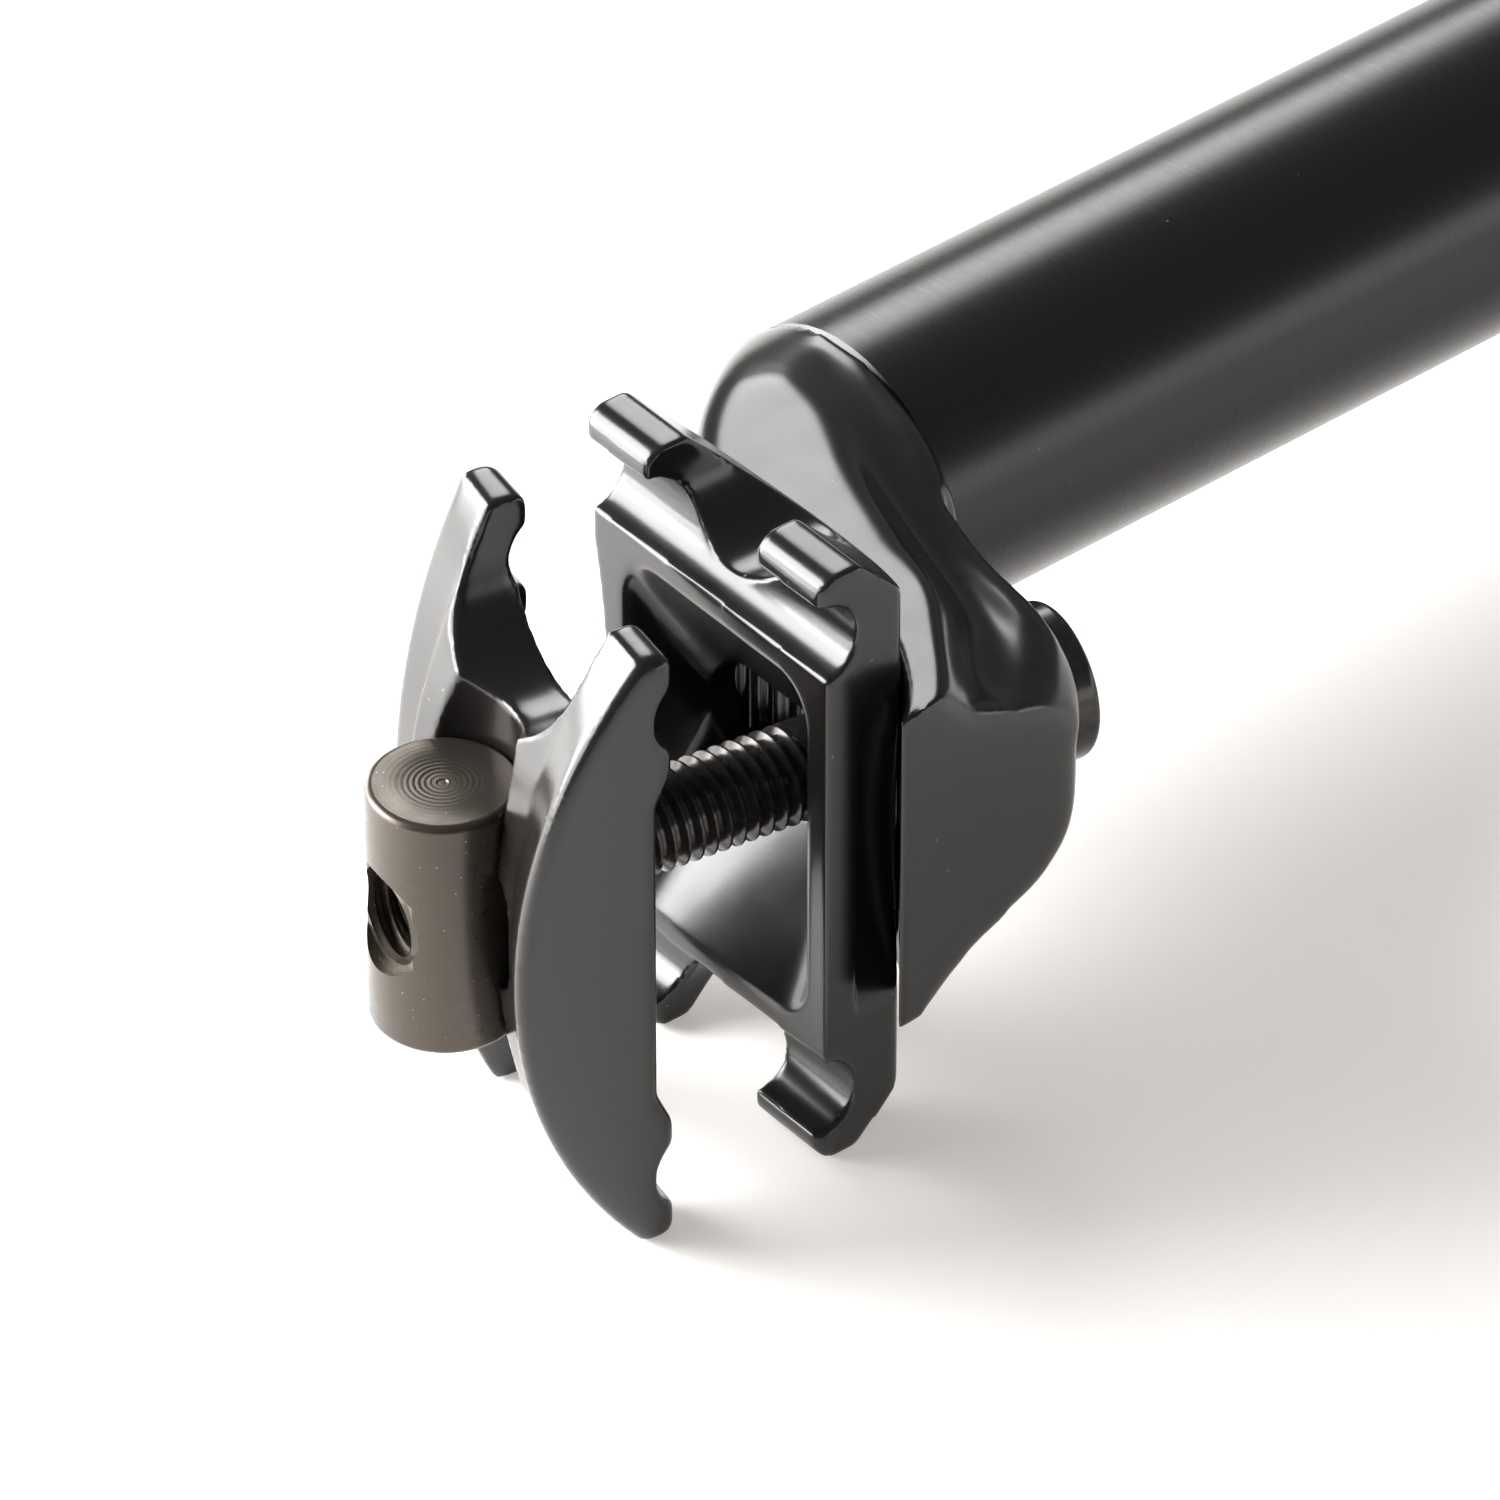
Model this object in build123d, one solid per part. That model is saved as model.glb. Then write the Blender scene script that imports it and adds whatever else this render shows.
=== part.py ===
from build123d import *
import math
import os

os.makedirs("parts", exist_ok=True)

# Bicycle seatpost lying on its side, in millimetres.
# The origin is on the tube's axis, where the tube meets the forged head.
# X runs along the tube to its open end, Z across the bicycle, and -Y is the rear, to which the
# head is set back. The rails of a saddle would run nearly along Y.

# Post tube
TUBE_OD = 27.2
TUBE_LENGTH = 316.0
TUBE_BORE_TOP = 21.6
TUBE_BORE_END = 23.0
BUTT_LENGTH = 110.0
BUTT_TAPER = 30.0
TUBE_EDGE = 0.35

# Clamp axis: the line of the bolt through the head
CLAMP_ANGLE = -10.3
SEAT_X = -46.0
SEAT_Y = -23.0
SEAT_RADIUS = 24.6

# Forged head
HEAD_NEAR_Y = -42.2
SPIGOT_LENGTH = 34.0
GLUE_GAP = 0.05
PLATEAU_HALF = 15.0
BOSS_REACH = 39.2
BOSS_HALF = 10.2
BEARING_REACH = 35.0
BOLT_HOLE_GAP = 0.3
POCKET_GAP = 0.3

# Serrations of the seat and of the cradle's back
TOOTH_PITCH_DEG = 5.0
TOOTH_DEPTH = 0.5
TOOTH_WIDTH = 1.3
SERRATION_HALF = 11.5
SEAT_GAP = 0.3

# Saddle rails
RAIL_DIAMETER = 7.0
RAIL_SPACING = 44.0
RAIL_SEAT_GAP = 0.05

# Lower cradle
CRADLE_TILT = 8.2
CRADLE_LENGTH = 29.2
CRADLE_FRONT = 12.27
CRADLE_HALF = 28.2
HOOK_LIP = 0.75
HOOK_BACK = 15.5
HOOK_NOSE = 1.9
U_CUT_RADIUS = 6.7
U_CUT_FLOOR = 19.8
U_CUT_TOP = 15.7
WINDOW_LENGTH = 22.2
WINDOW_HALF = 16.6
WINDOW_CORNER = 3.5
WINDOW_OFFSET = -0.67
SLOT_HALF = 5.0
SLOT_LENGTH_CRADLE = 20.0
RIM_THICK = 2.1
FLOOR_THICK = 2.6
WAIST_HALF = 15.8
WAIST_DEPTH = 1.9
FAR_WAIST = 1.6
END_EDGE = 0.9
WINDOW_EDGE = 0.8

# Bolt, barrel nut
THREAD_OD = 8.0
THREAD_PLAY = 0.05
BOLT_LENGTH = 50.0
BOLT_HEAD_OD = 13.0
BOLT_HEAD_HEIGHT = 8.0
HEX_KEY = 6.0
HEX_DEPTH = 4.5
NUT_OD = 12.0
NUT_LENGTH = 22.0
NUT_CHAMFER = 0.45
NUT_REACH = -12.3

# Upper clamp
NUT_GAP = 0.1
CLAMP_ROCK = -1.6
CLAMP_INNER = 11.05
CLAMP_GROOVE_FLOOR = 10.7
CLAMP_LIP = 12.4
BULGE_Z = 17.0
EAR_THICK = 5.6
EAR_HALF = 28.1
EAR_TIP = 2.8
EAR_NOSE = 1.3
EAR_OUTER_NEAR = -1.7
EAR_RADIUS_NEAR = 39.1
EAR_OUTER_FAR = 3.0
EAR_RADIUS_FAR = 65.0
BRIDGE_OUTER = 1.1
BRIDGE_RADIUS = 48.0
NOTCH_FLOOR = 15.5
SLOT_LENGTH = 16.0
SLOT_SIDE = 1.5
EAR_EDGE = 1.0

SEAT_AXIS = Vector(SEAT_X, SEAT_Y, 0)
CLAMP_FRAME = Location(SEAT_AXIS, Vector(0, 0, CLAMP_ANGLE))
CRADLE_FRAME = Location(SEAT_AXIS, Vector(0, 0, CLAMP_ANGLE + CRADLE_TILT))


def prism(face, low, high):
    """A flat face in XY made solid between two heights."""
    return extrude(Pos(0, 0, low) * face, amount=high - low)


def along_bolt(face, low, high):
    """A face drawn across the bolt, made solid along the bolt's own direction, +X."""
    return extrude(Plane.YZ.offset(low) * face, amount=high - low)


def make_post_tube():
    radius = TUBE_OD / 2
    top = TUBE_BORE_TOP / 2
    end = TUBE_BORE_END / 2
    profile = Polyline(
        (0, top),
        (0, radius - TUBE_EDGE),
        (TUBE_EDGE, radius),
        (TUBE_LENGTH - TUBE_EDGE, radius),
        (TUBE_LENGTH, radius - TUBE_EDGE),
        (TUBE_LENGTH, end),
        (BUTT_LENGTH + BUTT_TAPER, end),
        (BUTT_LENGTH, top),
        close=True,
    )
    return revolve(make_face(profile), Axis.X)


def head_section(left, right, corner, shoulder, plateau_half, valley_half, back_half):
    """One upright section of the forging, between two points of its plan.

    It has a rounded left corner, a flat plateau as wide as the shoulder, a hollow beside it and
    a rounded back. It is the same above and below.
    """
    start = Vector(*left, 0)
    across = (Vector(*right, 0) - start).normalized()
    width = (Vector(*right, 0) - start).length
    plane = Plane(start, x_dir=across, z_dir=Vector(0, 0, 1).cross(across))
    slope = (width - shoulder) / 4
    upper = [
        (0, 0.5 * plateau_half - 0.6 * corner),
        (0, plateau_half - 1.2 * corner),
        (0.3 * corner, plateau_half - 0.35 * corner),
        (1.2 * corner, plateau_half),
        (shoulder, plateau_half - 0.2),
        (shoulder + 0.8 * slope, 0.45 * plateau_half + 0.55 * valley_half),
        (shoulder + 1.9 * slope, valley_half),
        (width - 0.9 * slope, back_half),
        (width - 0.2 * slope, 0.72 * back_half),
    ]
    lower = [(across_x, -height) for across_x, height in reversed(upper)]
    return plane * make_face(Spline([(0, 0)] + upper + [(width, 0)] + lower, periodic=True))


def tooth_cutter(radius, first, last, height):
    """Upright grooves side by side round the seat's axis, cut inward or outward of a radius."""
    groove = Polygon(
        (radius - TOOTH_DEPTH, -TOOTH_WIDTH / 4),
        (radius + TOOTH_DEPTH, -TOOTH_WIDTH / 2),
        (radius + TOOTH_DEPTH, TOOTH_WIDTH / 2),
        (radius - TOOTH_DEPTH, TOOTH_WIDTH / 4),
        align=None,
    )
    solid = prism(groove, -height, height)
    angles = range(first, last + 1)
    return [Rot(0, 0, step * TOOTH_PITCH_DEG) * solid for step in angles]


def make_head():
    tube = Plane.YZ * Circle(TUBE_OD / 2)
    sections = [
        tube,
        head_section((-4.6, 9.8), (-1.6, -15.2), 7.5, 12.0, 13.9, 13.2, 12.2),
        head_section((-12.9, 1.8), (-4.2, -20.5), 2.4, 12.0, PLATEAU_HALF, 12.4, 11.8),
        head_section((-24.6, -11.6), (-6.0, -28.5), 1.8, 14.5, PLATEAU_HALF, 10.2, 10.6),
        head_section((-32.0, -30.0), (-7.4, -35.6), 1.8, 12.2, PLATEAU_HALF, 9.8, BOSS_HALF),
        head_section((-33.0, HEAD_NEAR_Y), (-11.0, HEAD_NEAR_Y + 1.7), 1.8, 5.5, PLATEAU_HALF, 11.2, 9.0),
    ]
    head = loft(sections) & Box(100, 140, 2 * PLATEAU_HALF)
    head -= CLAMP_FRAME * prism(Circle(SEAT_RADIUS), -2 * PLATEAU_HALF, 2 * PLATEAU_HALF)
    beyond = along_bolt(Rectangle(2 * BOLT_HEAD_OD, 60), BOSS_REACH, BOSS_REACH + 20)
    head -= CLAMP_FRAME * beyond
    head -= CLAMP_FRAME * along_bolt(Circle(THREAD_OD / 2 + BOLT_HOLE_GAP), 0, BOSS_REACH)
    pocket = Circle(BOLT_HEAD_OD / 2 + POCKET_GAP)
    head -= CLAMP_FRAME * along_bolt(pocket, BEARING_REACH, BOSS_REACH + 2)
    teeth = tooth_cutter(SEAT_RADIUS, -6, 7, SERRATION_HALF)
    head -= [CLAMP_FRAME * tooth for tooth in teeth]
    spigot = Plane.YZ * Circle(TUBE_BORE_TOP / 2 - GLUE_GAP)
    head += extrude(spigot, amount=SPIGOT_LENGTH)
    return head


def make_lower_cradle():
    half = CRADLE_LENGTH / 2
    back = SEAT_RADIUS - SEAT_GAP
    corner = math.sqrt(back**2 - half**2)
    front = CRADLE_FRONT - HOOK_LIP
    plan = make_face(
        Polyline((corner, -half), (front, -half), (front, half), (corner, half))
        + ThreePointArc((corner, half), (back, 0), (corner, -half))
    )
    plan = fillet(plan.vertices(), END_EDGE)
    body = prism(plan, -CRADLE_HALF, CRADLE_HALF)
    slope = back + 1 - HOOK_BACK
    side = Polygon(
        (front, CRADLE_HALF),
        (HOOK_BACK, CRADLE_HALF),
        (back + 1, CRADLE_HALF - slope),
        (back + 1, slope - CRADLE_HALF),
        (HOOK_BACK, -CRADLE_HALF),
        (front, -CRADLE_HALF),
        align=None,
    )
    side = fillet(side.vertices().group_by(Axis.X)[0], HOOK_NOSE)
    side = fillet(side.vertices().filter_by_position(Axis.X, HOOK_BACK - 0.1, HOOK_BACK + 0.1), 1.0)
    body &= extrude(Plane.XZ * side, amount=half + 1, both=True)
    rail_radius = RAIL_DIAMETER / 2 + RAIL_SEAT_GAP
    rail_x = CRADLE_FRONT - 0.5
    step = Box(2 * HOOK_LIP, CRADLE_LENGTH + 2, RAIL_SPACING + 2 * rail_radius - 0.2)
    body -= Pos(front, 0, 0) * step
    cut_z = U_CUT_FLOOR + U_CUT_RADIUS
    cut = Pos(0, cut_z) * Circle(U_CUT_RADIUS)
    cut += Polygon(
        (-U_CUT_RADIUS, cut_z),
        (-U_CUT_TOP / 2, CRADLE_HALF + 0.5),
        (U_CUT_TOP / 2, CRADLE_HALF + 0.5),
        (U_CUT_RADIUS, cut_z),
        align=None,
    )
    u_cut = along_bolt(cut, 0, back + 2)
    for side_z in (-1, 1):
        rail = Pos(rail_x, side_z * RAIL_SPACING / 2) * Circle(rail_radius)
        body -= extrude(Plane.XZ.offset(-half - 1) * rail, amount=CRADLE_LENGTH + 2)
    body -= u_cut + mirror(u_cut, Plane.XY)
    slot = SlotOverall(SLOT_LENGTH_CRADLE, 2 * SLOT_HALF)
    mouth = RectangleRounded(WINDOW_LENGTH, 2 * WINDOW_HALF, WINDOW_CORNER)
    floor = RectangleRounded(SLOT_LENGTH_CRADLE, 2 * SLOT_HALF, SLOT_HALF - 0.05)
    floor_x = back - FLOOR_THICK - 1.8
    pocket = loft([Plane.YZ.offset(CRADLE_FRONT) * mouth, Plane.YZ.offset(floor_x) * floor])
    pocket += along_bolt(mouth, CRADLE_FRONT - 0.5, CRADLE_FRONT)
    pocket += along_bolt(slot, floor_x - 0.1, back + 1)
    body -= Pos(0, WINDOW_OFFSET, 0) * pocket
    rim = body.edges().filter_by_position(Axis.X, CRADLE_FRONT - 0.01, CRADLE_FRONT + 0.01)
    rim = rim.filter_by_position(Axis.Z, -WINDOW_HALF - 0.01, WINDOW_HALF + 0.01)
    rim = rim.filter_by_position(Axis.Y, -half + 1, half - 1)
    body = fillet(rim, WINDOW_EDGE)
    for end, reach, first in ((-1, WAIST_DEPTH, RIM_THICK), (1, FAR_WAIST, -1)):
        radius = (WAIST_HALF**2 + reach**2) / (2 * reach)
        scoop = Pos(end * (half - reach + radius), 0) * Circle(radius)
        body -= along_bolt(scoop, CRADLE_FRONT + first, back + 1)
    body -= tooth_cutter(back, -6, 6, SERRATION_HALF)
    return CRADLE_FRAME * body


def clamp_side(outer, outer_radius):
    """The side outline of the upper clamp, with its back arc at a given reach and radius."""
    tip_x = outer + outer_radius - math.sqrt(outer_radius**2 - EAR_HALF**2)
    tip_x = min(tip_x, CLAMP_LIP - EAR_TIP)
    outline = Polyline(
        (tip_x, EAR_HALF),
        (CLAMP_LIP, EAR_HALF),
        (CLAMP_LIP, BULGE_Z),
        (CLAMP_INNER, BULGE_Z - 3),
        (CLAMP_INNER, 3 - BULGE_Z),
        (CLAMP_LIP, -BULGE_Z),
        (CLAMP_LIP, -EAR_HALF),
        (tip_x, -EAR_HALF),
    )
    back = ThreePointArc((tip_x, -EAR_HALF), (outer, 0), (tip_x, EAR_HALF))
    face = make_face(outline + back)
    noses = face.vertices().group_by(Axis.X)[-1]
    return fillet(noses, EAR_NOSE)


def make_upper_clamp():
    half = CRADLE_LENGTH / 2
    inner = half - EAR_THICK
    near_face = Plane.XZ.offset(half) * clamp_side(EAR_OUTER_NEAR, EAR_RADIUS_NEAR)
    near_inside = Plane.XZ.offset(inner) * clamp_side(BRIDGE_OUTER, BRIDGE_RADIUS)
    far_inside = Plane.XZ.offset(-inner) * clamp_side(BRIDGE_OUTER + 1.5, EAR_RADIUS_FAR)
    far_face = Plane.XZ.offset(-half) * clamp_side(EAR_OUTER_FAR, EAR_RADIUS_FAR)
    body = loft([near_face, near_inside], ruled=True)
    body += loft([far_inside, far_face], ruled=True)
    bridge = clamp_side(BRIDGE_OUTER, BRIDGE_RADIUS)
    bridge = extrude(Plane.XZ * bridge, amount=inner, both=True)
    notch = Pos(0, NOTCH_FLOOR + inner) * Circle(inner)
    notch += Pos(0, NOTCH_FLOOR + 2 * inner) * Rectangle(2 * inner, 2 * inner)
    notch = along_bolt(notch, -10, CLAMP_LIP + 5)
    bridge -= notch + mirror(notch, Plane.XY)
    body += bridge & along_bolt(Rectangle(2 * inner, 2 * EAR_HALF), -10, CLAMP_INNER)
    body = fillet(body.edges().filter_by_position(Axis.Y, -half - 0.01, -half + 0.01), EAR_EDGE)
    body = fillet(body.edges().filter_by_position(Axis.Y, half - 0.01, half + 0.01), EAR_EDGE)
    body -= prism(Circle(NUT_OD / 2 + NUT_GAP), -EAR_HALF, EAR_HALF)
    slot = RectangleRounded(SLOT_LENGTH, THREAD_OD + 2 * SLOT_SIDE, 3.0)
    body -= along_bolt(slot, 0, CLAMP_LIP + 1)
    rail_radius = RAIL_DIAMETER / 2 + RAIL_SEAT_GAP
    for side_z in (-1, 1):
        rail = Pos(CLAMP_GROOVE_FLOOR + rail_radius, side_z * RAIL_SPACING / 2) * Circle(rail_radius)
        body -= extrude(Plane.XZ.offset(-half - 1) * rail, amount=CRADLE_LENGTH + 2)
    return CLAMP_FRAME * Pos(NUT_REACH, 0, 0) * Rot(0, 0, CLAMP_ROCK) * body


def make_barrel_nut():
    body = Cylinder(NUT_OD / 2, NUT_LENGTH)
    body = chamfer(body.edges().filter_by(GeomType.CIRCLE), NUT_CHAMFER)
    bore = THREAD_OD / 2 + THREAD_PLAY
    body -= along_bolt(Circle(bore), -NUT_OD, NUT_OD)
    rim = bore + 0.65
    flare = revolve(
        Polygon((-NUT_OD / 2 - 0.1, 0), (-NUT_OD / 2 - 0.1, rim), (-NUT_OD / 2 + rim, 0), align=None), Axis.X
    )
    body -= flare
    body -= mirror(flare, Plane.YZ)
    return CLAMP_FRAME * Pos(NUT_REACH, 0, 0) * body


def make_clamp_bolt():
    tip = BEARING_REACH - BOLT_LENGTH
    shank = along_bolt(Circle(THREAD_OD / 2), tip, BEARING_REACH)
    tip_edge = shank.edges().filter_by(GeomType.CIRCLE).sort_by(Axis.X)[0]
    shank = chamfer(tip_edge, 0.8)
    head = along_bolt(Circle(BOLT_HEAD_OD / 2), BEARING_REACH, BEARING_REACH + BOLT_HEAD_HEIGHT)
    rim = head.edges().filter_by(GeomType.CIRCLE).sort_by(Axis.X)[-1]
    head = fillet(rim, 0.8)
    key = RegularPolygon(HEX_KEY / 2, 6, major_radius=False)
    end = BEARING_REACH + BOLT_HEAD_HEIGHT
    bolt = shank + head - along_bolt(key, end - HEX_DEPTH, end + 1)
    return CLAMP_FRAME * bolt


NODES = {
    "post_tube": make_post_tube(),
    "head": make_head(),
    "lower_cradle": make_lower_cradle(),
    "upper_clamp": make_upper_clamp(),
    "barrel_nut": make_barrel_nut(),
    "clamp_bolt": make_clamp_bolt(),
}
for name, shape in NODES.items():
    shape.label = name
    export_step(shape, f"parts/{name}.step")
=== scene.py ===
import math

import bmesh
import bpy
from mathutils import Matrix, Vector


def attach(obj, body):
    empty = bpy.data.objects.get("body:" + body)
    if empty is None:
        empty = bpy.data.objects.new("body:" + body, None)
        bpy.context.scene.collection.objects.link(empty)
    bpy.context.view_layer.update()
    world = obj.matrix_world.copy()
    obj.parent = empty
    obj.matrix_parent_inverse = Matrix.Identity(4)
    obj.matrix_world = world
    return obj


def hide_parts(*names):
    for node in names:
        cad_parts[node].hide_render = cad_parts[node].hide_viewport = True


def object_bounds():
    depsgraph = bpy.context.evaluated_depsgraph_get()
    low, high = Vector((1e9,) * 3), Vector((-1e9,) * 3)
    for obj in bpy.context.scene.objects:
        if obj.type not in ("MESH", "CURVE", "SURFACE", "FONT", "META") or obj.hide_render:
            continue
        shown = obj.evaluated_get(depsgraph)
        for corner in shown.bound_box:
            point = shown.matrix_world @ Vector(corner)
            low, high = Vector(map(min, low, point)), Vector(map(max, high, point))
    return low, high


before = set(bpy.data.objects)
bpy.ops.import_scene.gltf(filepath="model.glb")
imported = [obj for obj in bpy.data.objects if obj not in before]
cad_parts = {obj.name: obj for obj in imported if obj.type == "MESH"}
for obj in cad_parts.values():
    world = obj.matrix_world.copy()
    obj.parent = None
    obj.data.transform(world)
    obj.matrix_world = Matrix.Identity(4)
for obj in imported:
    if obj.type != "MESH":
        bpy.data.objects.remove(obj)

cad_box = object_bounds()

# The seatpost lies along X with its head at the origin. The clamp bolt runs in the XY plane,
# turned a little from X, and the barrel nut stands upright near its far end. Lengths are in
# metres, and places along the bolt count from the axis of the head's curved seat.
BOLT_ANGLE = math.radians(-10.3)
ALONG = Vector((math.cos(BOLT_ANGLE), math.sin(BOLT_ANGLE), 0))
SEAT = Vector((-0.046, -0.023, 0))
CRADLE_ANGLE = math.radians(-2.1)
FLOOR = cad_box[0][2]
LYING = (0, math.pi / 2, 0)

# Clamp bolt
BOLT_TIP = -0.015
UNDER_HEAD = 0.035
BOLT_END = 0.043
BOLT_HEAD_RADIUS = 0.0065
BOLT_HEAD_RIM = 0.0008
TIP_BACK = 0.0004
TIP_IN = 0.0006
SOCKET_ACROSS = 0.006
SOCKET_DEPTH = 0.0045
SOCKET_CUTTER = 0.006

# Thread of the bolt and of the nut
PITCH = 0.00125
CREST = 0.004
ROOT = 0.00335
COIL_STEPS = 36
BOLT_TURNS = 27
NUT_TURNS = 9
NUT_CREST = CREST + 0.00004
NUT_ROOT = ROOT + 0.0001

# Barrel nut
NUT_REACH = 0.0123
NUT = SEAT - NUT_REACH * ALONG
NUT_RADIUS = 0.006
NUT_LENGTH = 0.022
NUT_CHAMFER = 0.0006
NUT_THREAD_REACH = 0.0058
# Width and depth of each step on the nut's faced ends, from the rim to the centre mark
FACING = ((0.00006, 0), (0.0019, 0), (0.00012, -0.00003), (0.0016, 0), (0.00012, -0.00003),
          (0.0011, 0), (0.0001, -0.0001))
# Radius, depth and shift along the bolt of the cross hole and of the lead-in at each end of it
DRILLINGS = ((0.00405, 0.016, 0), (0.0047, 0.0016, -0.0056), (0.0047, 0.0016, 0.0056))

# Flange at the cradle's near end, measured in the cradle's own frame
FLANGE_BACK = 0.01437
FLANGE_BACK_SLACK = 0.00003
FLANGE_FROM = -0.011
FLANGE_EXTRA = 0.001

# Back of the head: the ridge's line in plan, and the flat strip on top of its near end
RIDGE_START = -0.0053
RIDGE_LEAN = 0.38
RIDGE_CURVE = 2200
STRIP_FROM = 0.024
STRIP_RUN_UP = 0.008
STRIP_MIDDLE = 0.0018
STRIP_HALF_WIDTH = 0.0024
STRIP_RISE = 0.0018
STRIP_LOWEST = 0.011
PLATEAU = 0.015

# Back of the head beyond the hollow beside the ridge, where it falls away
HOLLOW = 0.004
FALL = 0.17
FALL_OUTWARDS = 0.62
FALL_FULL_REACH = 0.012
FALL_LOWEST = 0.002
FALL_FADE = 0.006
TUBE_CLEAR = 0.001
TUBE_FADE = 0.005

# What the settling of the forgings leaves alone, and how far it takes to come in beside that
SEAT_KEEP, SEAT_FADE = 0.0262, 0.002
BOLT_KEEP, BOLT_FADE = 0.0085, 0.0015
TUBE_KEEP, TUBE_KEEP_FADE = 0.0012, 0.003
TROUGH_KEEP, TROUGH_FADE = 0.0078, 0.0015
HEAD_ROUNDS = 48
EAR_ROUNDS = 14


# Shaping helpers

def start_clean():
    """Nothing selected, object mode."""
    if bpy.context.object and bpy.context.object.mode != "OBJECT":
        bpy.ops.object.mode_set(mode="OBJECT")
    bpy.ops.object.select_all(action="DESELECT")


def pick(piece):
    """Only this piece selected, and active."""
    start_clean()
    piece.select_set(True)
    bpy.context.view_layer.objects.active = piece


def apply_place(piece):
    """The piece's place goes into its mesh, and its object ends at the origin."""
    pick(piece)
    bpy.ops.object.transform_apply(location=True, rotation=True, scale=True)


def apply_modifiers(piece):
    """Every modifier goes into the mesh, in its order."""
    bpy.context.view_layer.objects.active = piece
    for modifier in list(piece.modifiers):
        bpy.ops.object.modifier_apply(modifier=modifier.name)


def point_outwards(piece):
    """Loose faces are joined at their corners, and all of them face outwards."""
    pick(piece)
    bpy.ops.object.mode_set(mode="EDIT")
    bpy.ops.mesh.select_all(action="SELECT")
    bpy.ops.mesh.remove_doubles(threshold=0.000002)
    bpy.ops.mesh.normals_make_consistent(inside=False)
    bpy.ops.object.mode_set(mode="OBJECT")


def rounded_edges(piece, voxel, rounds):
    """An even skin over the piece, relaxed so that every edge is rounded as tumbling leaves it."""
    skin = piece.modifiers.new("even_skin", "REMESH")
    skin.mode = "VOXEL"
    skin.voxel_size = voxel
    relax = piece.modifiers.new("tumbling", "SMOOTH")
    relax.factor = 0.5
    relax.iterations = rounds
    apply_modifiers(piece)


def settle(piece, rounds, share):
    """Relaxes the skin where share(point) is above 0, so that ripples of the forging's form go."""
    weights = piece.vertex_groups.new(name="settled")
    for vert in piece.data.vertices:
        part = share(vert.co)
        if part > 0:
            weights.add([vert.index], min(part, 1.0), "REPLACE")
    relax = piece.modifiers.new("settling", "SMOOTH")
    relax.factor = 0.5
    relax.iterations = rounds
    relax.vertex_group = "settled"
    apply_modifiers(piece)
    piece.vertex_groups.clear()


def cut_out(piece, cutter, name):
    """The cutter's form is taken out of the piece, and the cutter is gone."""
    apply_place(cutter)
    cut = piece.modifiers.new(name, "BOOLEAN")
    cut.operation = "DIFFERENCE"
    cut.object = cutter
    cut.solver = "EXACT"
    apply_modifiers(piece)
    bpy.data.objects.remove(cutter)


def smooth(piece, degrees):
    """Smooth shading, with edges kept sharp where they turn by more than this."""
    pick(piece)
    bpy.ops.object.shade_smooth_by_angle(angle=math.radians(degrees))


def select_where(piece, kind, test):
    """In edit mode, selects the piece's vertices, edges or faces that pass a test."""
    bpy.ops.mesh.select_mode(type=kind)
    bpy.ops.mesh.select_all(action="DESELECT")
    mesh = bmesh.from_edit_mesh(piece.data)
    parts = {"VERT": mesh.verts, "EDGE": mesh.edges, "FACE": mesh.faces}[kind]
    for part in parts:
        if test(part):
            part.select_set(True)
    mesh.select_flush_mode()
    bmesh.update_edit_mesh(piece.data)


def ramp(value, start, length):
    """0 up to start, then rising evenly to 1 over this length."""
    return min(max((value - start) / length, 0), 1)


def coat(piece, material):
    """One finish all over the piece."""
    piece.data.materials.clear()
    piece.data.materials.append(material)


# Node groups shared by several finishes

def new_group(name, inputs, outputs):
    """An empty node group with its named sockets."""
    group = bpy.data.node_groups.new(name, "ShaderNodeTree")
    for label, kind, value in inputs:
        socket = group.interface.new_socket(name=label, in_out="INPUT", socket_type=kind)
        socket.default_value = value
    for label, kind in outputs:
        group.interface.new_socket(name=label, in_out="OUTPUT", socket_type=kind)
    start = group.nodes.new("NodeGroupInput")
    end = group.nodes.new("NodeGroupOutput")
    return group, start, end


def make_peel_group():
    """Slow waves of a forging under paint, with a fine orange peel on top: a height."""
    group, start, end = new_group(
        "forged_peel",
        [("Vector", "NodeSocketVector", (0, 0, 0)), ("Wave Size", "NodeSocketFloat", 120.0),
         ("Peel Size", "NodeSocketFloat", 1800.0), ("Peel Share", "NodeSocketFloat", 0.15)],
        [("Height", "NodeSocketFloat")],
    )
    link = group.links.new
    wave = group.nodes.new("ShaderNodeTexNoise")
    wave.inputs["Detail"].default_value = 1.0
    peel = group.nodes.new("ShaderNodeTexNoise")
    peel.inputs["Detail"].default_value = 2.0
    for node, label in ((wave, "Wave Size"), (peel, "Peel Size")):
        link(start.outputs["Vector"], node.inputs["Vector"])
        link(start.outputs[label], node.inputs["Scale"])
    mixed = group.nodes.new("ShaderNodeMath")
    mixed.operation = "MULTIPLY_ADD"
    link(peel.outputs["Fac"], mixed.inputs[0])
    link(start.outputs["Peel Share"], mixed.inputs[1])
    link(wave.outputs["Fac"], mixed.inputs[2])
    link(mixed.outputs[0], end.inputs["Height"])
    return group


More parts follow.
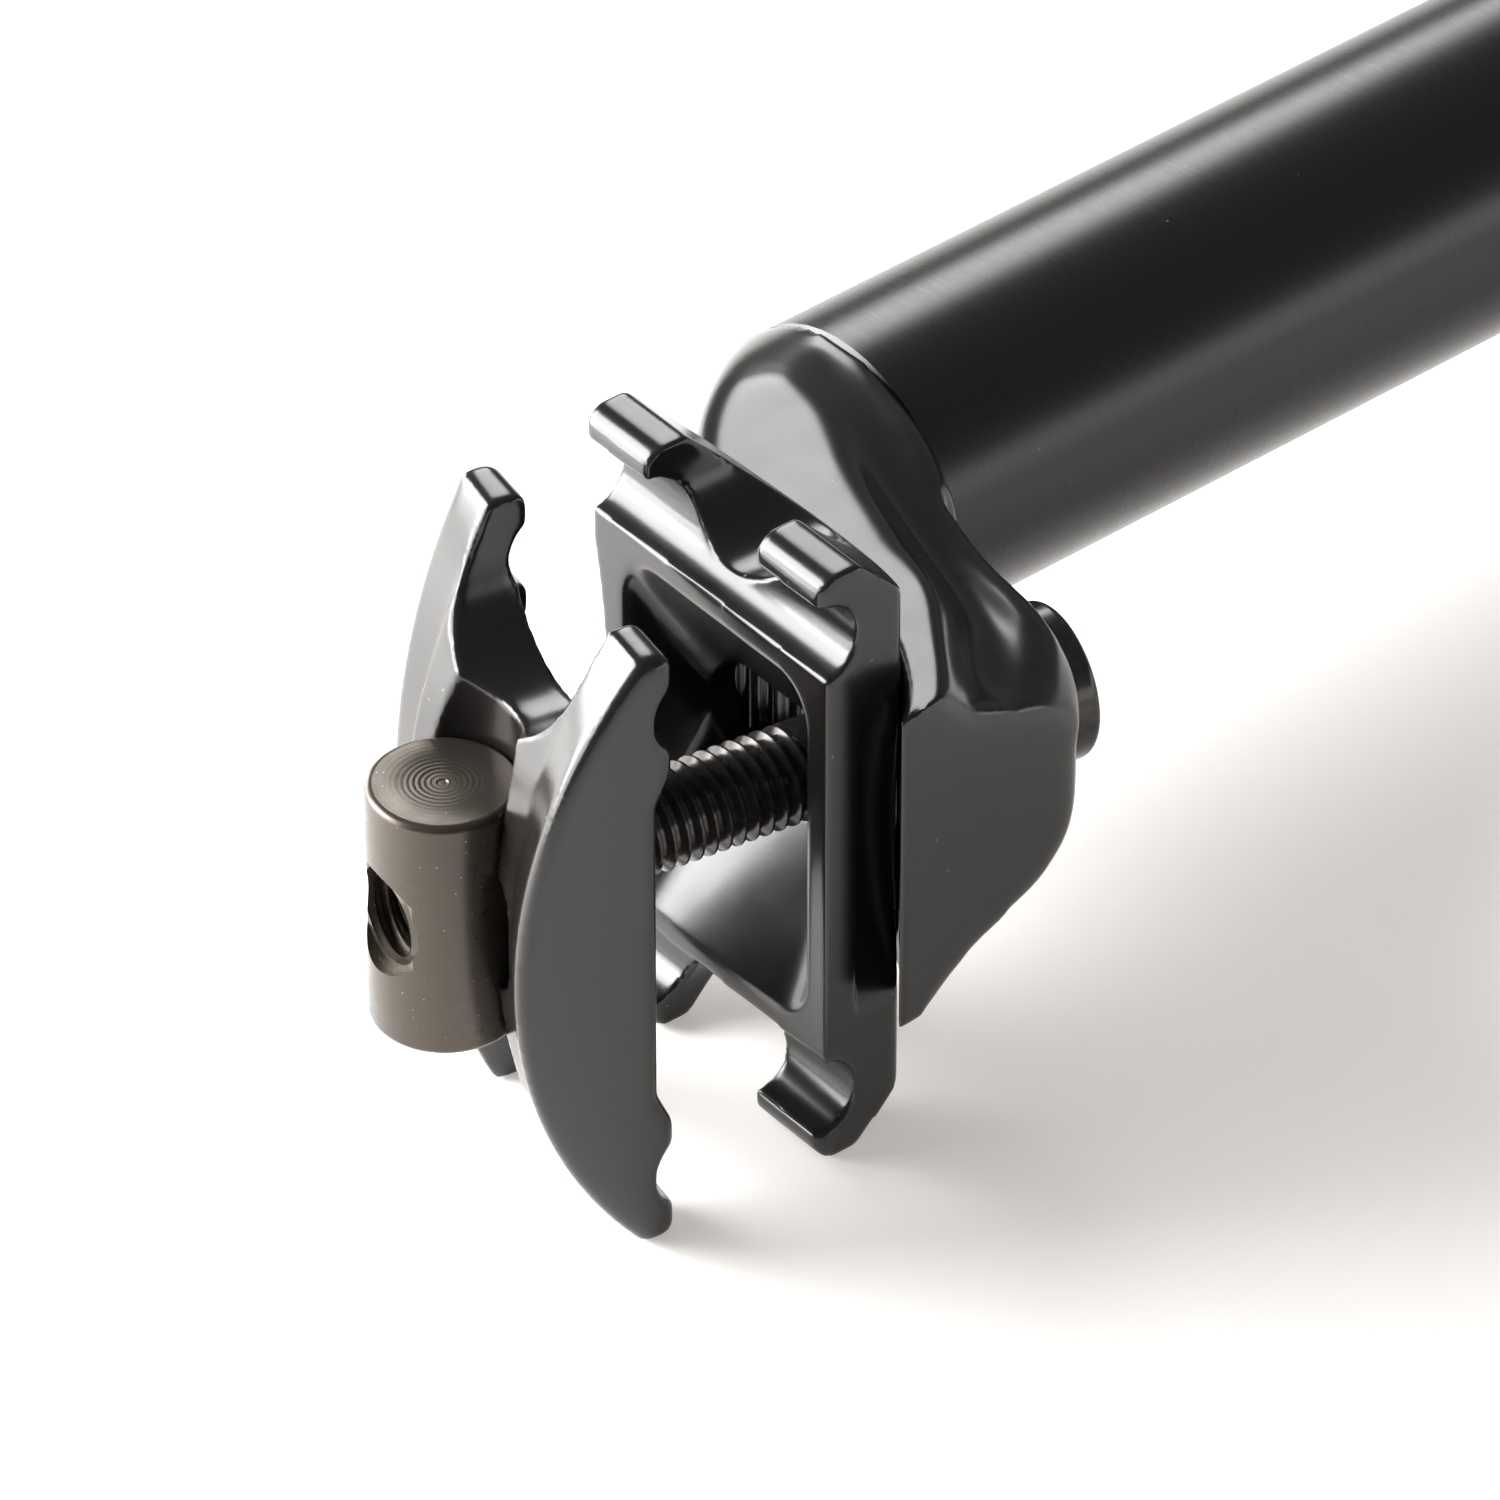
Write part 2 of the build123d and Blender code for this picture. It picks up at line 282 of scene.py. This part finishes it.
def make_speck_group():
    """Sparse specks of dust: a mask from 0 to 1."""
    group, start, end = new_group(
        "dust_specks",
        [("Vector", "NodeSocketVector", (0, 0, 0)), ("Density", "NodeSocketFloat", 900.0),
         ("Size", "NodeSocketFloat", 0.12), ("Share", "NodeSocketFloat", 0.2)],
        [("Mask", "NodeSocketFloat")],
    )
    link = group.links.new
    cells = group.nodes.new("ShaderNodeTexVoronoi")
    link(start.outputs["Vector"], cells.inputs["Vector"])
    link(start.outputs["Density"], cells.inputs["Scale"])
    near = group.nodes.new("ShaderNodeMath")
    near.operation = "LESS_THAN"
    link(cells.outputs["Distance"], near.inputs[0])
    link(start.outputs["Size"], near.inputs[1])
    some = group.nodes.new("ShaderNodeSeparateColor")
    link(cells.outputs["Color"], some.inputs[0])
    chosen = group.nodes.new("ShaderNodeMath")
    chosen.operation = "LESS_THAN"
    link(some.outputs[0], chosen.inputs[0])
    link(start.outputs["Share"], chosen.inputs[1])
    both = group.nodes.new("ShaderNodeMath")
    both.operation = "MULTIPLY"
    link(near.outputs[0], both.inputs[0])
    link(chosen.outputs[0], both.inputs[1])
    link(both.outputs[0], end.inputs["Mask"])
    return group


def make_blend_group():
    """One colour or another by a mask."""
    group, start, end = new_group(
        "two_tones",
        [("Mask", "NodeSocketFloat", 0.0), ("Under", "NodeSocketColor", (0, 0, 0, 1)),
         ("Over", "NodeSocketColor", (1, 1, 1, 1))],
        [("Color", "NodeSocketColor")],
    )
    mix = group.nodes.new("ShaderNodeMix")
    mix.data_type = "RGBA"
    # a mix node has a set of sockets for each data type, and these are the ones for colours
    factor, first, second, result = mix.inputs[0], mix.inputs[6], mix.inputs[7], mix.outputs[2]
    group.links.new(start.outputs["Mask"], factor)
    group.links.new(start.outputs["Under"], first)
    group.links.new(start.outputs["Over"], second)
    group.links.new(result, end.inputs["Color"])
    return group


PEEL = make_peel_group()
SPECKS = make_speck_group()
TONES = make_blend_group()


class Finish:
    """A material with its Principled shader, Object coordinates and a few node makers."""

    def __init__(self, name, **plain):
        self.material = bpy.data.materials.new(name)
        self.material.use_nodes = True
        self.tree = self.material.node_tree
        self.shader = self.tree.nodes["Principled BSDF"]
        for socket, value in plain.items():
            self.shader.inputs[socket].default_value = value
        self.coordinates = self.tree.nodes.new("ShaderNodeTexCoord").outputs["Object"]

    def node(self, kind, sockets, **settings):
        """A node with its settings. Each socket is linked to another node's, or set."""
        node = self.tree.nodes.new(kind)
        for name, value in settings.items():
            setattr(node, name, value)
        for name, source in sockets.items():
            if isinstance(source, bpy.types.NodeSocket):
                self.tree.links.new(source, node.inputs[name])
            else:
                node.inputs[name].default_value = source
        return node

    def sums(self, operation, *values):
        node = self.node("ShaderNodeMath", dict(enumerate(values)), operation=operation)
        return node.outputs["Value"]

    def noise(self, vector, scale, detail):
        sockets = {"Vector": vector, "Scale": scale, "Detail": detail}
        return self.node("ShaderNodeTexNoise", sockets).outputs["Fac"]

    def spread(self, value, low, high, start=0.0, end=1.0):
        """Low where the value is at start, high where it is at end, and even between."""
        sockets = {"Value": value, "From Min": start, "From Max": end, "To Min": low,
                   "To Max": high}
        return self.node("ShaderNodeMapRange", sockets).outputs["Result"]

    def stretched(self, vector, scale):
        return self.node("ShaderNodeMapping", {"Vector": vector, "Scale": scale}).outputs["Vector"]

    def specks(self, density, size, share):
        sockets = {"Vector": self.coordinates, "Density": density, "Size": size, "Share": share}
        return self.node("ShaderNodeGroup", sockets, node_tree=SPECKS).outputs["Mask"]

    def peel(self, wave, peel, share):
        sockets = {"Vector": self.coordinates, "Wave Size": wave, "Peel Size": peel,
                   "Peel Share": share}
        return self.node("ShaderNodeGroup", sockets, node_tree=PEEL).outputs["Height"]

    def colour(self, under, over, mask):
        sockets = {"Mask": mask, "Under": (*under, 1), "Over": (*over, 1)}
        tones = self.node("ShaderNodeGroup", sockets, node_tree=TONES)
        self.tree.links.new(tones.outputs["Color"], self.shader.inputs["Base Color"])

    def roughen(self, mask, low, high):
        self.tree.links.new(self.spread(mask, low, high), self.shader.inputs["Roughness"])

    def bump(self, height, strength, distance):
        sockets = {"Height": height, "Strength": strength, "Distance": distance}
        node = self.node("ShaderNodeBump", sockets)
        self.tree.links.new(node.outputs["Normal"], self.shader.inputs["Normal"])


DUST = (0.12, 0.115, 0.105)


def painted_forging():
    """Gloss black paint over a forged and tumbled skin, with a little dust."""
    black = (0.009, 0.008, 0.0075)
    finish = Finish("gloss_black_forging", IOR=1.55)
    finish.colour(black, DUST, finish.specks(density=800.0, size=0.1, share=0.05))
    finish.roughen(finish.noise(finish.coordinates, scale=300.0, detail=3.0), low=0.17, high=0.25)
    finish.bump(finish.peel(wave=160.0, peel=2600.0, share=0.05), strength=0.25, distance=0.00012)
    return finish.material


def anodised_tube():
    """Satin black anodising, with faint lines round the tube from its turning."""
    black = (0.008, 0.0075, 0.007)
    finish = Finish("satin_black_tube", IOR=1.5)
    round_tube = finish.stretched(finish.coordinates, (5.0, 0.3, 0.3))
    lines = finish.noise(round_tube, scale=900.0, detail=3.0)
    finish.colour(black, DUST, finish.specks(density=700.0, size=0.08, share=0.03))
    finish.roughen(lines, low=0.24, high=0.33)
    finish.bump(lines, strength=0.12, distance=0.00002)
    return finish.material


def turned_nut():
    """Dark turned steel: rings round the nut's own axis on its ends, fine lines round its side."""
    steel, bright = (0.08, 0.068, 0.056), (0.45, 0.4, 0.33)
    rings_a_metre = 14000.0
    wobble = 0.00008
    finish = Finish("turned_dark_steel", Metallic=0.75)
    place = finish.node("ShaderNodeVectorMath", {0: finish.coordinates, 1: tuple(NUT)},
                        operation="SUBTRACT").outputs["Vector"]
    flat = finish.node("ShaderNodeVectorMath", {0: place, 1: (1, 1, 0)},
                       operation="MULTIPLY").outputs["Vector"]
    radius = finish.node("ShaderNodeVectorMath", {0: flat}, operation="LENGTH").outputs["Value"]
    wander = finish.noise(place, scale=500.0, detail=2.0)
    reach = finish.sums("MULTIPLY_ADD", wander, wobble, radius)
    rings = finish.sums("SINE", finish.sums("MULTIPLY", reach, rings_a_metre))
    # deep round the centre mark, and faint from there to the rim
    depth = finish.spread(radius, low=0.34, high=0.07, start=0.0022, end=0.0034)
    round_side = finish.stretched(place, (0.15, 0.15, 6.0))
    lines = finish.noise(round_side, scale=700.0, detail=4.0)
    height = finish.sums("ADD", finish.sums("MULTIPLY", rings, depth), lines)
    finish.colour(steel, bright, finish.specks(density=2600.0, size=0.14, share=0.06))
    finish.roughen(wander, low=0.22, high=0.36)
    finish.bump(height, strength=0.5, distance=0.00004)
    return finish.material


def black_bolt():
    """Oiled black oxide on steel."""
    dark, worn = (0.022, 0.02, 0.019), (0.075, 0.07, 0.066)
    finish = Finish("black_oxide_bolt", Metallic=0.6)
    tone = finish.noise(finish.coordinates, scale=1200.0, detail=3.0)
    finish.colour(dark, worn, tone)
    finish.roughen(tone, low=0.14, high=0.26)
    finish.bump(finish.peel(wave=700.0, peel=4000.0, share=0.2), strength=0.2, distance=0.00003)
    return finish.material


FORGING = painted_forging()
TUBE = anodised_tube()
STEEL = turned_nut()
BLACK = black_bolt()


# The bolt: its thread, shank, head and hexagon socket

def along_bolt(piece):
    """A piece drawn along +X from the seat's axis is turned and moved onto the bolt's line."""
    turn = Matrix.Rotation(BOLT_ANGLE, 4, "Z")
    piece.data.transform(Matrix.Translation(SEAT) @ turn)


def thread_coil(name, crest, root, start, turns, crest_flat, root_flat):
    """The coil of a thread: a profile drawn on X and wound round X by the screw modifier.

    The flats at crest and root are shares of half the pitch.
    """
    start_clean()
    half = PITCH / 2
    rows = [
        (-half, root),
        (-half + root_flat * half, root),
        (-crest_flat * half, crest),
        (crest_flat * half, crest),
        (half - root_flat * half, root),
        (half, root),
    ]
    bpy.ops.mesh.primitive_plane_add(size=PITCH)
    piece = bpy.context.object
    piece.name = name
    # the profile takes the place of the plane's mesh
    outline = bmesh.new()
    points = [outline.verts.new((start + x, 0, radius)) for x, radius in rows]
    for first, second in zip(points, points[1:]):
        outline.edges.new((first, second))
    outline.to_mesh(piece.data)
    outline.free()
    winding = piece.modifiers.new("winding", "SCREW")
    winding.axis = "X"
    winding.screw_offset = PITCH
    winding.steps = winding.render_steps = COIL_STEPS
    winding.iterations = turns
    winding.use_merge_vertices = True
    winding.merge_threshold = 0.000005
    apply_modifiers(piece)
    return piece


def draw_out(length):
    """The selected face is extruded along X."""
    bpy.ops.mesh.extrude_region_move(TRANSFORM_OT_translate={"value": (length, 0, 0)})


def make_bolt():
    """The thread is one piece, and the head with its shank and core another."""
    coil = thread_coil("bolt_thread", CREST, ROOT, BOLT_TIP + PITCH / 2, BOLT_TURNS,
                       crest_flat=0.16, root_flat=0.22)
    point_outwards(coil)
    smooth(coil, 40)
    along_bolt(coil)
    start_clean()
    bpy.ops.mesh.primitive_cylinder_add(
        vertices=96, radius=BOLT_HEAD_RADIUS, depth=BOLT_END - UNDER_HEAD,
        location=((BOLT_END + UNDER_HEAD) / 2, 0, 0), rotation=LYING,
    )
    bolt = bpy.context.object
    bolt.name = "bolt_shank_and_head"
    apply_place(bolt)
    bpy.ops.object.mode_set(mode="EDIT")
    # shank and the thread's core, drawn out of the underside of the head
    shank_end = BOLT_TIP + BOLT_TURNS * PITCH
    select_where(bolt, "FACE", lambda face: face.normal.x < -0.9)
    bpy.ops.mesh.inset(thickness=BOLT_HEAD_RADIUS - CREST, depth=0)
    draw_out(shank_end - UNDER_HEAD)
    bpy.ops.mesh.inset(thickness=CREST - ROOT, depth=0)
    draw_out(BOLT_TIP + TIP_BACK - shank_end)
    bpy.ops.mesh.inset(thickness=TIP_IN, depth=0)
    bpy.ops.transform.translate(value=(-TIP_BACK, 0, 0))
    # rounded rim of the head
    select_where(bolt, "EDGE", lambda edge: all(
        abs(vert.co.x - BOLT_END) < 1e-6 for vert in edge.verts) and edge.is_manifold)
    bpy.ops.mesh.bevel(offset=BOLT_HEAD_RIM, segments=5, affect="EDGES")
    bpy.ops.object.mode_set(mode="OBJECT")
    # hexagon socket
    start_clean()
    bpy.ops.mesh.primitive_cylinder_add(
        vertices=6, radius=SOCKET_ACROSS / 2 / math.cos(math.pi / 6), depth=SOCKET_CUTTER,
        location=(BOLT_END - SOCKET_DEPTH + SOCKET_CUTTER / 2, 0, 0), rotation=LYING,
    )
    cut_out(bolt, bpy.context.object, "socket")
    smooth(bolt, 30)
    along_bolt(bolt)
    for piece in (coil, bolt):
        coat(piece, BLACK)
        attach(piece, "bolt")
        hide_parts("clamp_bolt")


# The nut: its turned body and the thread inside it

def make_nut_thread():
    """The thread inside the nut's cross hole, in step with the bolt's own thread."""
    start = -NUT_REACH - NUT_THREAD_REACH
    in_step = round((start - BOLT_TIP) / PITCH) * PITCH + BOLT_TIP
    coil = thread_coil("nut_thread", NUT_CREST, NUT_ROOT, in_step + PITCH / 2, NUT_TURNS,
                       crest_flat=0.3, root_flat=0.12)
    # its faces look in towards the bolt
    point_outwards(coil)
    bpy.ops.object.mode_set(mode="EDIT")
    bpy.ops.mesh.select_all(action="SELECT")
    bpy.ops.mesh.flip_normals()
    bpy.ops.object.mode_set(mode="OBJECT")
    smooth(coil, 40)
    along_bolt(coil)
    coat(coil, STEEL)
    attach(coil, "nut")


def make_nut():
    """The turned cross nut: faced ends with a small centre mark, chamfers and the cross hole."""
    start_clean()
    bpy.ops.mesh.primitive_cylinder_add(
        vertices=128, radius=NUT_RADIUS, depth=NUT_LENGTH, location=NUT)
    nut = bpy.context.object
    nut.name = "turned_cross_nut"
    apply_place(nut)
    bpy.ops.object.mode_set(mode="EDIT")
    select_where(nut, "EDGE", lambda edge: abs(edge.verts[0].co.z - edge.verts[1].co.z) < 1e-6)
    bpy.ops.mesh.bevel(offset=NUT_CHAMFER, segments=4, profile=0.5, affect="EDGES")
    select_where(nut, "FACE", lambda face: abs(face.normal.z) > 0.99 and len(face.verts) > 20)
    for width, depth in FACING:
        bpy.ops.mesh.inset(thickness=width, depth=depth)
    bpy.ops.object.mode_set(mode="OBJECT")
    for radius, depth, shift in DRILLINGS:
        start_clean()
        bpy.ops.mesh.primitive_cylinder_add(
            vertices=96, radius=radius, depth=depth, location=NUT + shift * ALONG,
            rotation=(0, math.pi / 2, BOLT_ANGLE),
        )
        cut_out(nut, bpy.context.object, "cross_hole")
    smooth(nut, 28)
    coat(nut, STEEL)
    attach(nut, "nut")
    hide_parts("barrel_nut")


# The three forgings

def forging(node, name, body, voxel, rounds, reshape=None, settling=None):
    """The forging of a node with its edges rounded, in place of the node's sharp ones.

    reshape changes its form before the edges are rounded, and settling after that.
    """
    piece = bpy.data.objects.new(name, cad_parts[node].data.copy())
    bpy.context.collection.objects.link(piece)
    point_outwards(piece)
    if reshape:
        reshape(piece)
    rounded_edges(piece, voxel, rounds)
    if settling:
        settling(piece)
    smooth(piece, 80)
    coat(piece, FORGING)
    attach(piece, body)
    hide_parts(node)


def thicken_flange(cradle):
    """The flange at the cradle's near end is as thick as in the photograph."""
    turn = Matrix.Rotation(CRADLE_ANGLE, 3, "Z")
    home = turn.transposed()
    bpy.ops.object.mode_set(mode="EDIT")

    def on_step(vert):
        local = home @ (vert.co - SEAT)
        return abs(local.x - FLANGE_BACK) < FLANGE_BACK_SLACK and local.y < FLANGE_FROM
    select_where(cradle, "VERT", on_step)
    bpy.ops.transform.translate(value=turn @ Vector((FLANGE_EXTRA, 0, 0)))
    bpy.ops.object.mode_set(mode="OBJECT")


def settle_head(head):
    """The back of the head flows in one sweep, away from the seat, the bolt and the tube's end.

    The ridge keeps a flat strip on top down to its near end. Beyond the hollow beside the ridge the
    back falls away evenly to its outer edge. reach is a point's distance from the tube's axis, on
    the clamp's side, and beside is how far it lies from the ridge's line.
    """
    for vert in head.data.vertices:
        point = vert.co
        reach = -point.y
        ridge = RIDGE_START - RIDGE_LEAN * reach - RIDGE_CURVE * reach ** 4
        beside = point.x - ridge
        past = beside - HOLLOW
        if reach > STRIP_FROM and STRIP_LOWEST < point.z < PLATEAU:
            on_strip = max(1 - abs(beside - STRIP_MIDDLE) / STRIP_HALF_WIDTH, 0)
            near = on_strip * ramp(reach, STRIP_FROM, STRIP_RUN_UP)
            point.z = min(point.z + STRIP_RISE * near, PLATEAU)
        if past > 0 and reach > 0 and point.z > FALL_LOWEST:
            fade = ramp(point.z, FALL_LOWEST, FALL_FADE) * ramp(-point.x, TUBE_CLEAR, TUBE_FADE)
            drop = FALL * past * fade * ramp(reach, 0, FALL_FULL_REACH)
            point.z -= drop
            point.x += FALL_OUTWARDS * drop

    def share(point):
        place = point - SEAT
        from_seat = Vector((place.x, place.y)).length
        along = place.dot(ALONG)
        from_bolt = (place - along * ALONG).length
        return min((from_seat - SEAT_KEEP) / SEAT_FADE, (from_bolt - BOLT_KEEP) / BOLT_FADE,
                   (-TUBE_KEEP - point.x) / TUBE_KEEP_FADE)
    settle(head, HEAD_ROUNDS, share)


def settle_ears(clamp):
    """The ears are rounded generously, the trough for the nut hardly."""
    def share(point):
        from_nut = Vector((point.x - NUT.x, point.y - NUT.y)).length
        return (from_nut - TROUGH_KEEP) / TROUGH_FADE
    settle(clamp, EAR_ROUNDS, share)


make_bolt()
make_nut()
make_nut_thread()
forging("head", "forged_head", "post", voxel=0.00036, rounds=4, settling=settle_head)
forging("lower_cradle", "forged_cradle", "cradle", voxel=0.00026, rounds=8, reshape=thicken_flange)
forging("upper_clamp", "forged_upper_clamp", "clamp", voxel=0.00028, rounds=6,
        settling=settle_ears)

for node, material in (("post_tube", TUBE), ("head", FORGING), ("lower_cradle", FORGING),
                       ("upper_clamp", FORGING), ("barrel_nut", STEEL), ("clamp_bolt", BLACK)):
    coat(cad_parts[node], material)


# Floor, light and camera

def make_floor():
    """A wide pale floor. Where the camera or a reflection sees it, it also glows a little."""
    glow = 0.36
    start_clean()
    bpy.ops.mesh.primitive_plane_add(size=6, location=(0, 0, FLOOR))
    floor = bpy.context.object
    floor.name = "studio_floor"
    material = bpy.data.materials.new("white_floor")
    material.use_nodes = True
    tree = material.node_tree
    shader = tree.nodes["Principled BSDF"]
    shader.inputs["Base Color"].default_value = (0.82, 0.81, 0.795, 1)
    shader.inputs["Roughness"].default_value = 0.6
    shader.inputs["Specular IOR Level"].default_value = 0.2
    shader.inputs["Emission Color"].default_value = (1, 0.945, 0.89, 1)
    paths = tree.nodes.new("ShaderNodeLightPath")
    seen = tree.nodes.new("ShaderNodeMath")
    seen.operation = "ADD"
    tree.links.new(paths.outputs["Is Camera Ray"], seen.inputs[0])
    tree.links.new(paths.outputs["Is Glossy Ray"], seen.inputs[1])
    strength = tree.nodes.new("ShaderNodeMath")
    strength.operation = "MULTIPLY"
    tree.links.new(seen.outputs[0], strength.inputs[0])
    strength.inputs[1].default_value = glow
    tree.links.new(strength.outputs[0], shader.inputs["Emission Strength"])
    coat(floor, material)


def soft_box(name, place, aim, size, watts, seen=True):
    """A flat lamp that faces the point it is aimed at. An unseen one still lights the object."""
    lamp = bpy.data.lights.new(name, "AREA")
    lamp.shape = "RECTANGLE"
    lamp.size, lamp.size_y = size
    lamp.energy = watts
    holder = bpy.data.objects.new(name, lamp)
    bpy.context.collection.objects.link(holder)
    holder.location = place
    holder.rotation_euler = (Vector(aim) - Vector(place)).to_track_quat("-Z", "Y").to_euler()
    holder.visible_camera = seen


def make_world():
    """White to the camera, and a faint even light on everything else."""
    on_object, to_camera = 0.2, 1.0
    world = bpy.data.worlds.new("white_studio")
    world.use_nodes = True
    bpy.context.scene.world = world
    tree = world.node_tree
    back = tree.nodes["Background"]
    back.inputs["Color"].default_value = (1, 1, 1, 1)
    paths = tree.nodes.new("ShaderNodeLightPath")
    strength = tree.nodes.new("ShaderNodeMapRange")
    tree.links.new(paths.outputs["Is Camera Ray"], strength.inputs["Value"])
    strength.inputs["To Min"].default_value = on_object
    strength.inputs["To Max"].default_value = to_camera
    tree.links.new(strength.outputs["Result"], back.inputs["Strength"])


def make_camera():
    """A long lens that looks down at the head from its near left, as in the photograph."""
    down, round_left = 37.366, 40.493
    camera = bpy.data.cameras.new("photo_camera")
    camera.sensor_width = 36
    camera.lens = 327.1
    camera.clip_start = 0.05
    camera.clip_end = 20
    holder = bpy.data.objects.new("photo_camera", camera)
    bpy.context.collection.objects.link(holder)
    holder.location = (-0.5752, -0.6625, 0.6431)
    holder.rotation_euler = (math.radians(90 - down), 0, math.radians(-round_left))
    bpy.context.scene.camera = holder


HEAD_BACK = (-0.02, -0.02, 0)
TUBE_ROOT = (0, 0, 0)
TUBE_SIDE = (0.05, 0, 0)
CLAMP_SIDE = (-0.06, -0.02, 0)

make_floor()
make_world()
make_camera()
soft_box("back_left", (-0.6, 0.68, 0.52), aim=HEAD_BACK, size=(0.75, 0.55), watts=23)
soft_box("back_right", (0.55, 0.69, 0.57), aim=TUBE_ROOT, size=(0.24, 0.5), watts=2.9)
soft_box("front_card", (0.75, -0.95, 0.12), aim=TUBE_SIDE, size=(1.4, 0.28), watts=2.6,
         seen=False)
soft_box("low_left_card", (-0.2, 0.1, 0.045), aim=CLAMP_SIDE, size=(0.2, 0.11), watts=0.6,
         seen=False)
soft_box("far_card", (-0.12, 0.2, 0.04), aim=CLAMP_SIDE, size=(0.26, 0.1), watts=0.8,
         seen=False)
bpy.context.scene.view_settings.view_transform = "Standard"
